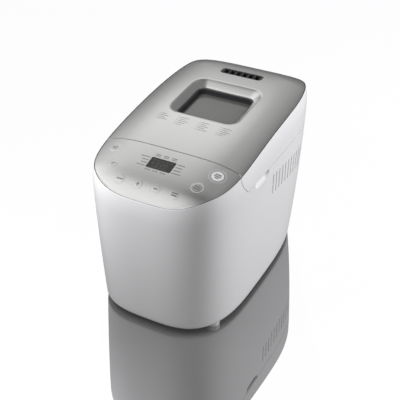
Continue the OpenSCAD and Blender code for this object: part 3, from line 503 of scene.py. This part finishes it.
def flange_opening():
    return prism("flange_opening", [tuple(p) for p in plan(0, 0, 0.87)], "z", PART_Z + 2, 400)


def tube_x(name, r, lo, hi, n=64):
    """Round bar along the hinge's axis."""
    pts = [(HINGE_Y + r * math.cos(2 * math.pi * k / n), HINGE_Z + r * math.sin(2 * math.pi * k / n))
           for k in range(n)]
    return prism(name, pts, "x", lo, hi)


def capsule(name, r, side):
    """Finger scoop: a round-ended bar lying along the side, just below the lid."""
    n = 48
    ends = np.linspace(0, math.pi / 2, 14)
    prof = [(SCOOP_FROM - r * math.cos(t), r * math.sin(t)) for t in ends[1:]]
    prof += [(SCOOP_TO + r * math.cos(t), r * math.sin(t)) for t in ends[::-1][:-1]]
    a = np.arange(n) * 2 * math.pi / n
    x0, z0 = side * (BODY_W / 2 + 6.5), PART_Z - 1
    rings = [np.stack([x0 + q * np.cos(a), np.full(n, y), z0 - q * np.sin(a)], 1) for y, q in prof]
    return loft(name, rings, (x0, SCOOP_FROM - r, z0), (x0, SCOOP_TO + r, z0))


housing = cut(housing_region(0, PART_Z), outer, "INTERSECT", keep=True)
hollow = cut(housing_region(-WALL, PART_Z - WALL), inner, "INTERSECT", keep=True)
cut(housing, hollow)
cut(housing, cut(flange_opening(), housing_region(-WALL - 4, PART_Z - WALL), "INTERSECT"))
for side in (-1, 1):
    pad = cut(capsule("pad", SCOOP_R + WALL, side), box("above", (-FAR, -FAR, PART_Z), (FAR, FAR, FAR)))
    cut(pad, outer, "INTERSECT", keep=True)
    cut(housing, pad, "UNION")
    cut(housing, capsule("scoop", SCOOP_R, side))
barrel = cut(tube_x("barrel", BARREL_R, -BARREL_HALF, BARREL_HALF), outer, "INTERSECT", keep=True)
cut(housing, barrel, "UNION")
barrel_foot = box("barrel_foot", (-BARREL_HALF, HINGE_Y - 6, PART_Z - 1), (BARREL_HALF, HINGE_Y + 3, PART_Z + 7))
cut(housing, barrel_foot, "UNION")
cut(housing, tube_x("barrel_bore", PIN_R + 0.05, -BARREL_HALF - 0.5, BARREL_HALF + 0.5))
for x, y in SCREWS:
    for s in (-1, 1):
        pillar = prism("pillar", peg_outline(PILLAR_D, 12, s * x, y), "z", FLOOR_TOP, FLOOR_TOP + 40)
        cut(housing, cut(pillar, outer, "INTERSECT", keep=True), "UNION")
        cut(housing, prism("pillar_bore", peg_outline(3.2, 8, s * x, y), "z", FLOOR_TOP - 1, FLOOR_TOP + 15))
below = placed(box("below_board", (-200, -200, -400), (200, 200, -BOARD_DEPTH)), frame_at(0, LCD_Y))
for x, y in BOSSES:
    for s in (-1, 1):
        boss = cut(prism("boss", peg_outline(BOSS_D, 10, s * x, y), "z", PART_Z, PART_Z + 90), below, keep=True)
        cut(housing, cut(boss, outer, "INTERSECT", keep=True), "UNION")
remove(below)
slots = []
for side in (-1, 1):
    for k in range(SLOTS_N):
        y, top = SLOT_FIRST_Y + k * SLOT_PITCH, PART_Z - SLOT_DROP - k * SLOT_FALL
        outline = [(p[0] + y, p[1] + top - SLOT_L / 2) for p in rrect(SLOT_W, SLOT_L, SLOT_W / 2 - 0.05, 6)]
        slots.append(prism("slot", outline, "x", side * BODY_W / 2 - 14, side * BODY_W / 2 + 14))
cut(housing, joined("slots", *slots))
cut(housing, prism("deck_opening", rrect(OVEN_W, OVEN_L, OVEN_R, 16, 0, OVEN_Y), "z", PART_Z - 10, PART_Z + 10))
cut(housing, box("inlet_hole", (INLET_X - 15.3, REAR_Y - 30, INLET_Z - 11.3),
                 (INLET_X + 15.3, REAR_Y + 30, INLET_Z + 11.3)))
rooms = [placed(lathe("room", [(ROOM_R, -12), (ROOM_R, 0)], 64), frame_at(x, y)) for x, y, _ in KEYS.values()]
cut(housing, joined("key_rooms", *rooms))
housing.name = "housing_skin"
smooth(housing, outer)
dress(housing, WHITE, "base", "white_plastic", "housing")

lid = cut(lid_region(PART_GAP, PART_Z + PART_GAP), outer, "INTERSECT", keep=True)
cut(lid, cut(lid_region(PART_GAP + WALL, PART_Z - 20), inner, "INTERSECT", keep=True))
swing = [(HINGE_Y + 8.4 * math.sin(t), HINGE_Z - 8.4 * math.cos(t)) for t in np.linspace(0, math.pi / 2, 25)]
cut(lid, prism("relief", [(HINGE_Y, 0), (FAR, 0), (FAR, HINGE_Z)] + swing[::-1], "x", -FAR - 10, FAR + 10))
ear_x = BARREL_HALF + 0.5
notch = ear_x + EAR_T + 1.5
cut(lid, box("notch", (-notch, HINGE_Y - 8.5, 0), (notch, FAR, HINGE_Z + 8)))
opening = cut(flange_opening(), lid_region(PART_GAP + WALL + 4, PART_Z - 20), "INTERSECT")
cut(opening, box("hinge_keep", (-FAR, HINGE_Y - 22, 0), (FAR, FAR, 420)))
cut(lid, opening)
for side in (-1, 1):
    x0 = side * (ear_x + EAR_T / 2)
    ear = cut(tube_x("ear", EAR_R, x0 - EAR_T / 2, x0 + EAR_T / 2),
              box("ear_web", (x0 - EAR_T / 2, HINGE_Y - 16, HINGE_Z),
                  (x0 + EAR_T / 2, HINGE_Y + 5.4, HINGE_Z + 70)), "UNION")
    cut(lid, cut(ear, outer, "INTERSECT", keep=True), "UNION")
for x, y in LID_POSTS:
    for s in (-1, 1):
        post = prism("post", peg_outline(POST_D, 12, s * x, y), "z", LINER_TOP, LINER_TOP + 60)
        cut(lid, cut(post, outer, "INTERSECT", keep=True), "UNION")
        cut(lid, prism("post_bore", peg_outline(3.4, 8, s * x, y), "z", LINER_TOP - 1.2, LINER_TOP + 14.8))
cut(lid, tube_x("pin_bore", PIN_R + 0.06, -ear_x - EAR_T - 1, ear_x + EAR_T + 1))
lid.name = "lid_skin"
smooth(lid, outer)
dress(lid, WHITE, "lid", "white_plastic", "lid_shell")

# ---------------------------------------------------------------- silver plates

rhos = [0.2, 0.4, 0.55, 0.68, 0.76] + RIM_RHOS[::-1]
plate = loft(
    "plate_form",
    [top_ring(r, 0, PLATE_T) for r in rhos + [1]]
    + [top_ring(1, 0, 0.7), top_ring(1, -0.1, 0.3), top_ring(1, -0.3, 0.08), top_ring(1, -0.7, 0)]
    + [top_ring(r, 0, 0) for r in rhos[::-1]],
    (0, WIDEST_Y, top_z(WIDEST_Y) - PLATE_T), (0, WIDEST_Y, top_z(WIDEST_Y)))


def bore(x, y, r):
    return placed(lathe("bore", [(r, -16), (r, 6)]), frame_at(x, y, 0))


panel = cut(housing_region(0, PART_Z), plate, "INTERSECT", keep=True)
cut(panel, joined("bores", *[bore(x, y, r + 0.06) for x, y, r in KEYS.values()]))
cut(panel, placed(prism("lcd_hole", rrect(LCD_W + 0.5, LCD_L + 0.5, 1.9), "z", -6, 6), frame_at(0, LCD_Y)))
panel.name = "panel_skin"
smooth(panel, plate)
dress(panel, SILVER, "base", "silver_plate", "control_panel")

top = cut(lid_region(PART_GAP, PART_Z), plate, "INTERSECT", keep=True)
window_hole = prism("window_hole", rrect(WINDOW_W, WINDOW_L, WINDOW_R, 20, 0, WINDOW_BACK), "z", -12, 8)
cut(top, placed(window_hole, frame_at(0, WINDOW_Y)))
cut(top, placed(prism("vent_hole", rrect(VENT_W, VENT_L, VENT_R, 16), "z", -8, 8), frame_at(0, VENT_Y)))
top.name = "lid_top_skin"
smooth(top, plate)
dress(top, SILVER, "lid", "silver_plate", "lid_top_plate")
remove(outer, inner, plate)


def dense_rrect(w, l, r):
    """Round-cornered outline with points along its straight sides too."""
    corner, side = 20, 10
    pts = []
    for q, (sx, sy) in enumerate([(1, 1), (-1, 1), (-1, -1), (1, -1)]):
        arc = [(sx * (w / 2 - r) + r * math.cos(math.pi / 2 * (q + k / corner)),
                sy * (l / 2 - r) + r * math.sin(math.pi / 2 * (q + k / corner))) for k in range(corner + 1)]
        nx, ny = [(-1, 1), (-1, -1), (1, -1), (1, 1)][q]
        end = arc[-1]
        stop = (nx * (w / 2 - r), end[1]) if q % 2 == 0 else (end[0], ny * (l / 2 - r))
        pts += arc
        pts += [(mix(end[0], stop[0], k / side), mix(end[1], stop[1], k / side)) for k in range(1, side)]
    return pts


def closed_loft(name, rings):
    """Ring-shaped solid: the last ring joins the first."""
    n, m = len(rings[0]), len(rings)
    verts = [v for r in rings for v in r]
    faces = [(k * n + i, k * n + (i + 1) % n, (k + 1) % m * n + (i + 1) % n, (k + 1) % m * n + i)
             for k in range(m) for i in range(n)]
    return mesh_object(name, verts, faces)


# Painted shade: a dark rubber strip set down in the gap between the silver plates and the white rim round them,
# standing in for the shade inside that gap.
shade_strip_rings = [top_ring(1, o, d) for o, d in ((0.04, SHADE_STRIP_DEPTH), (0.04, SKIN - 0.1),
                                             (LIP - 0.06, SKIN - 0.1), (LIP - 0.06, SHADE_STRIP_DEPTH))]
for name, body, region in (("panel_shade_strip", "base", housing_region(0, PART_Z)),
                           ("lid_shade_strip", "lid", lid_region(PART_GAP, PART_Z))):
    # Each strip is black rubber: painted shade in the gap, not a real gasket.
    shade_strip = cut(region, closed_loft(name, [[tuple(v) for v in r] for r in shade_strip_rings]), "INTERSECT")
    shade_strip.name = name
    dress(smooth(shade_strip, limit=50), RUBBER, body, "rubber")


# Window surround: rolls over from the plate and slopes in to the dark shaft.
profile = [(0.0, 0.0), (0.7, 0.06), (1.5, 0.28), (2.4, 0.75), (3.4, 1.55), (4.8, 3.0), (6.6, 5.1), (8.3, 7.2),
           (9.4, 8.7), (10.0, 9.8), (10.2, 10.8), (10.2, 12.6), (3.0, 12.6), (0.02, 3.0)]
f = frame_at(0, WINDOW_Y)
rings = []
for inset, depth in profile:
    ring = []
    step = inset * WINDOW_SLOPE
    for x, y in dense_rrect(WINDOW_W - 2 * step, WINDOW_L - 2 * step, WINDOW_R - step * 0.75):
        y += WINDOW_BACK * (1 - inset / 10.2)
        flat = f @ (Vector((x, y, 0)) * MM) / MM
        follow = max(0.0, 1 - inset / 9.0)
        drop = float(surf(flat.x, flat.y)) - flat.z
        ring.append((x, y, drop * follow - 0.9 * (1 - follow) - depth))
    rings.append(ring)
surround = placed(closed_loft("window_surround", rings), f)
smooth(surround, limit=50)
dress(surround, SILVER, "lid", "silver_plate", "window_bezel")

# ---------------------------------------------------------------- keys and display

def key_body(name):
    return f"key_{name}_body"


def bars(name, cells, m, up, thick):
    """Printed marks: thin bars, each (x, y, width, height), that lie the height up above the top."""
    shapes = [prism("bar", rrect(w, h, min(w, h) * 0.3, 3, x, y), "z", up, up + thick) for x, y, w, h in cells]
    return bent(joined(name, *shapes), m)


# Bars on each key: (x, y, width, height) from its middle.
MARKS = {
    "program": [(0, 1.3, 9.6, 1.5), (0, -1.5, 7.0, 1.5)],
    "crust": [(0.6, 1.5, 6.4, 1.5), (-0.8, -1.3, 4.0, 1.5)],
    "dough": [(0, 0, 11.0, 1.7)],
    "plus": [(0, 0, 6.4, 1.5), (0, 2.1, 1.5, 2.5), (0, -2.1, 1.5, 2.5)],
    "minus": [(0, 0, 6.8, 1.7)],
    "light": [(0, 2.0, 9.6, 2.0), (0, -1.6, 9.6, 2.0)],
    "timer": [(0, 2.2, 9.6, 2.2), (0, -1.8, 11.0, 2.2)],
    "start": [(0, 3.2, 10.0, 2.2), (0, -0.4, 11.0, 2.2), (0, -3.8, 6.0, 1.8)],
}
for name, (x, y, r) in KEYS.items():
    m = frame_at(x, y, 0)  # pressed along the CAD key's own axis
    low = [(KEY_STEM_R, KEY_FLANGE[0])] + [(r + 1, z) for z in KEY_FLANGE] + [(r, KEY_FLANGE[1])]
    if y < KEY_THIN_FROM:
        low = [(KEY_STEM_R, KEY_THIN), (r, KEY_THIN)]
    face = [(r, -0.08), (r - 0.06, 0.0), (r - 0.4, 0.04), (r * 0.8, 0.05), (r * 0.6, 0.06), (r * 0.4, 0.07),
            (r * 0.2, 0.07), (0.3, 0.07)]
    cap = bent(lathe(f"cap_{name}", [(KEY_STEM_R, KEY_STEM_END)] + low + face), m)
    smooth(cap, limit=50)
    dress(cap, PALE if name == "start" else SILVER, key_body(name), "key_plastic", f"key_{name}")
    marks = bars(f"mark_{name}", MARKS[name], m, 0.12, 0.14)
    dress(marks, INK, key_body(name), "dark_plastic")
    if name in ("start", "timer", "program"):
        wide, gap = {"start": (0.7, 3.2), "timer": (0.7, 0.4), "program": (0.6, 0.4)}[name]
        n = ROUND_STEPS
        a = np.arange(n) * 2 * math.pi / n
        r0, r1 = r + gap, r + gap + wide
        section = ((r0, -0.6), (r1, -0.6), (r1 - 0.05, 0.05), (mix(r0, r1, 0.5), 0.1), (r0 + 0.05, 0.05))
        rings = [np.stack([q * np.cos(a), q * np.sin(a), np.full(n, h)], 1) for q, h in section]
        halo = bent(closed_loft(f"halo_{name}", rings), m)
        smooth(halo, limit=40)
        dress(halo, RING, "base", "white_plastic")

lcd = frame_at(0, LCD_Y)
SEGS = {"0": "abcdef", "2": "abged", "3": "abgcd"}
SEG_AT = {"a": (0, 3.6, 2.6, 0.8), "g": (0, 0, 2.6, 0.8), "d": (0, -3.6, 2.6, 0.8), "f": (-1.9, 1.8, 0.8, 2.6),
          "b": (1.9, 1.8, 0.8, 2.6), "e": (-1.9, -1.8, 0.8, 2.6), "c": (1.9, -1.8, 0.8, 2.6)}
cells = [(x0 + SEG_AT[s][0], SEG_AT[s][1] - 0.4, SEG_AT[s][2], SEG_AT[s][3])
         for x0, d in ((-6.4, "3"), (2.0, "2"), (8.6, "0")) for s in SEGS[d]]
cells += [(-2.2, 1.2, 0.9, 0.9), (-2.2, -1.9, 0.9, 0.9)]
cells += [(x0, 7.2, 4.2, 0.9) for x0 in (-14, -7, 0, 7, 14)]
cells += [(-14, -1.5, 3.2, 0.9), (-14, 1.5, 3.2, 0.9), (0, -7.6, 26, 0.7)]
digits = bars("display_digits", cells, lcd, -0.3, 0.04)
dress(digits, SEGMENT, "base", "display")


def printed(name, cells, body):
    """Printed bars on the curved top: each (x, y, width, height) is a thin strip that follows the surface."""
    verts, faces = [], []
    for x, y, w, h in cells:
        k = max(2, int(w / 2))
        base = len(verts)
        for i in range(k + 1):
            for s in (-1, 1):
                px, py = x - w / 2 + w * i / k, y + s * h / 2
                for up in (0.0, 0.06):
                    verts.append((px, py, float(surf(px, py)) + up))
        for i in range(k):
            a, b = base + 4 * i, base + 4 * (i + 1)
            faces += [(a + 1, b + 1, b + 3, a + 3), (a, a + 2, b + 2, b),
                      (a, b, b + 1, a + 1), (a + 2, a + 3, b + 3, b + 2)]
        e = base + 4 * k
        faces += [(base, base + 1, base + 3, base + 2), (e, e + 2, e + 3, e + 1)]
    o = mesh_object(name, verts, faces)
    return dress(o, INK, body, "dark_plastic")


rows = []
for side in (-1, 1):
    for k, w in enumerate((13, 11, 12, 15) if side > 0 else (16, 12, 10, 14)):
        rows.append((side * (LCD_W / 2 + 2.5 + w / 2), LCD_Y + 9.0 - k * 6.2, w, 1.6))
rows += [(x0, LCD_Y + y0, 9.0, 1.5) for x0 in (-14, 0, 14) for y0 in (15.4, 18.6)]
rows += [(x0, LCD_Y - 15.4, 9.5, 1.5) for x0 in (-15, -2, 11)]
printed("panel_print", rows, "base")
rows = []
for x0, count in ((-56, 4), (-20, 5), (18, 5), (55, 5)):
    for k in range(count):
        w = (15, 11, 17, 13, 9)[(k + int(x0)) % 5]
        rows.append((x0 - 8 + w / 2, -28.0 - k * 4.6, w, 0.9))
        rows.append((x0 - 11.0, -28.0 - k * 4.6, 1.6, 0.9))
printed("lid_print", rows, "lid")


# ---------------------------------------------------------------- studio

def lamp(name, kind, energy, at, toward, size):
    """Lamp that no surface mirrors; size is an area lamp's side in metres or a sun's angle in degrees."""
    d = bpy.data.lights.new(name, kind)
    d.energy = energy
    if kind == "AREA":
        d.shape, d.size, d.size_y = "RECTANGLE", size, size
    else:
        d.angle = math.radians(size)
    o = bpy.data.objects.new(name, d)
    place, aim = Vector(at) * MM, Vector(toward) * MM
    o.matrix_world = Matrix.Translation(place) @ (place - aim).to_track_quat("Z", "Y").to_matrix().to_4x4()
    o.visible_glossy = o.visible_transmission = False
    bpy.context.scene.collection.objects.link(o)
    return o


def direction(az, el):
    """Unit vector; az turns from +Y towards +X."""
    a, e = math.radians(az), math.radians(el)
    return Vector((math.sin(a) * math.cos(e), math.cos(a) * math.cos(e), math.sin(e)))


scene = bpy.context.scene
scene.view_settings.view_transform = "Standard"

key_dir = direction(-27.6, 35)
lamp("key", "SUN", 1.2, at=key_dir * 3000, toward=(0, 0, 0), size=1.5)
lamp("side_fill", "AREA", 18, at=(1100, 800, 760), toward=(0, 60, 140), size=0.9)
lamp("front_fill", "AREA", 3.1, at=(-262, -345, 530), toward=(-60, -150, 170), size=0.35)

world = bpy.data.worlds.new("studio")
scene.world = world
world.use_nodes = True
wt = world.node_tree
bg = wt.nodes["Background"]
bg.inputs["Strength"].default_value = 1.0
coord = wt.nodes.new("ShaderNodeTexCoord")
path = wt.nodes.new("ShaderNodeLightPath")


def dot_ramp(axis, stops, low_high):
    """Grey level by the cosine between the view direction and an axis."""
    dot = wt.nodes.new("ShaderNodeVectorMath")
    dot.operation = "DOT_PRODUCT"
    dot.inputs[1].default_value = axis
    wt.links.new(coord.outputs["Generated"], dot.inputs[0])
    span = wt.nodes.new("ShaderNodeMapRange")
    span.interpolation_type = "SMOOTHSTEP"
    for k, v in zip(("From Min", "From Max", "To Min", "To Max"), (*stops, *low_high)):
        span.inputs[k].default_value = v
    wt.links.new(dot.outputs["Value"], span.inputs["Value"])
    return span.outputs["Result"]


def added(a, b):
    """Sum of two levels."""
    n = wt.nodes.new("ShaderNodeMath")
    n.operation = "ADD"
    for k, v in enumerate((a, b)):
        if isinstance(v, float):
            n.inputs[k].default_value = v
        else:
            wt.links.new(v, n.inputs[k])
    return n.outputs[0]


def choose(flag, off, on):
    """Level on where the flag is 1, and off where it is 0."""
    n = wt.nodes.new("ShaderNodeMix")
    n.data_type = "FLOAT"
    wt.links.new(flag, n.inputs["Factor"])
    for k, v in (("A", off), ("B", on)):
        if isinstance(v, float):
            n.inputs[k].default_value = v
        else:
            wt.links.new(v, n.inputs[k])
    return n.outputs["Result"]


def lobe(az, el, outer, inner, level):
    """Soft round light in the mirrored sky: full inside the inner angle, gone outside the outer one."""
    stops = (math.cos(math.radians(outer)), math.cos(math.radians(inner)))
    return dot_ramp(direction(az, el), stops, (0.0, level))


FLOOR_MIRROR = 0.37  # what the floor sends back, so that white stays white there and the object shows grey
mirror_sky = 0.165
for one in (lobe(-34, 42, 17, 2, 0.56), lobe(-36, 48, 40, 14, 0.25), lobe(-117, 12, 68, 25, 0.85),
            lobe(-66, 48, 18, 4, 0.12), lobe(-50, 68, 24, 8, -0.22)):
    mirror_sky = added(one, mirror_sky)
soft_sky = dot_ramp((0.92, 0.1, 0.38), (-0.5, 0.9), (0.13, 0.62))
# White to the camera and in the floor's mirror, soft to dull surfaces, and the lobes to glossy ones.
on_object = choose(path.outputs["Is Glossy Ray"], soft_sky, mirror_sky)
off_camera = choose(path.outputs["Is Singular Ray"], on_object, 1 / FLOOR_MIRROR)
level = choose(path.outputs["Is Camera Ray"], off_camera, 1.0)
grey = wt.nodes.new("ShaderNodeCombineColor")
for k in ("Red", "Green", "Blue"):
    wt.links.new(level, grey.inputs[k])
wt.links.new(grey.outputs["Color"], bg.inputs["Color"])

floor = box("floor", (-9000, -9000, -20), (9000, 9000, 0))
ground = bpy.data.materials.new("floor_gloss")
ground.use_nodes = True
gt = ground.node_tree
gt.nodes.clear()
KINDS = {"out": "ShaderNodeOutputMaterial", "path": "ShaderNodeLightPath", "white": "ShaderNodeEmission",
         "dull": "ShaderNodeBsdfDiffuse", "deep": "ShaderNodeBsdfDiffuse", "mirror": "ShaderNodeBsdfGlossy",
         "a": "ShaderNodeMixShader", "b": "ShaderNodeMixShader", "c": "ShaderNodeMixShader"}
parts = {k: gt.nodes.new(t) for k, t in KINDS.items()}
parts["dull"].inputs["Color"].default_value = (0.93, 0.93, 0.93, 1)
parts["deep"].inputs["Color"].default_value = (0.14, 0.14, 0.14, 1)
parts["mirror"].inputs["Color"].default_value = (FLOOR_MIRROR, FLOOR_MIRROR * 0.985, FLOOR_MIRROR, 1)
parts["mirror"].inputs["Roughness"].default_value = 0.0
MIXES = (("a", "dull", "white", 0.35), ("b", "a", "mirror", 0.92), ("c", "deep", "b", None))
for mixer, first, second, share in MIXES:
    gt.links.new(parts[first].outputs[0], parts[mixer].inputs[1])
    gt.links.new(parts[second].outputs[0], parts[mixer].inputs[2])
    if share is None:
        gt.links.new(parts["path"].outputs["Is Camera Ray"], parts[mixer].inputs[0])
    else:
        parts[mixer].inputs[0].default_value = share
gt.links.new(parts["c"].outputs[0], parts["out"].inputs["Surface"])
floor.data.materials.append(ground)
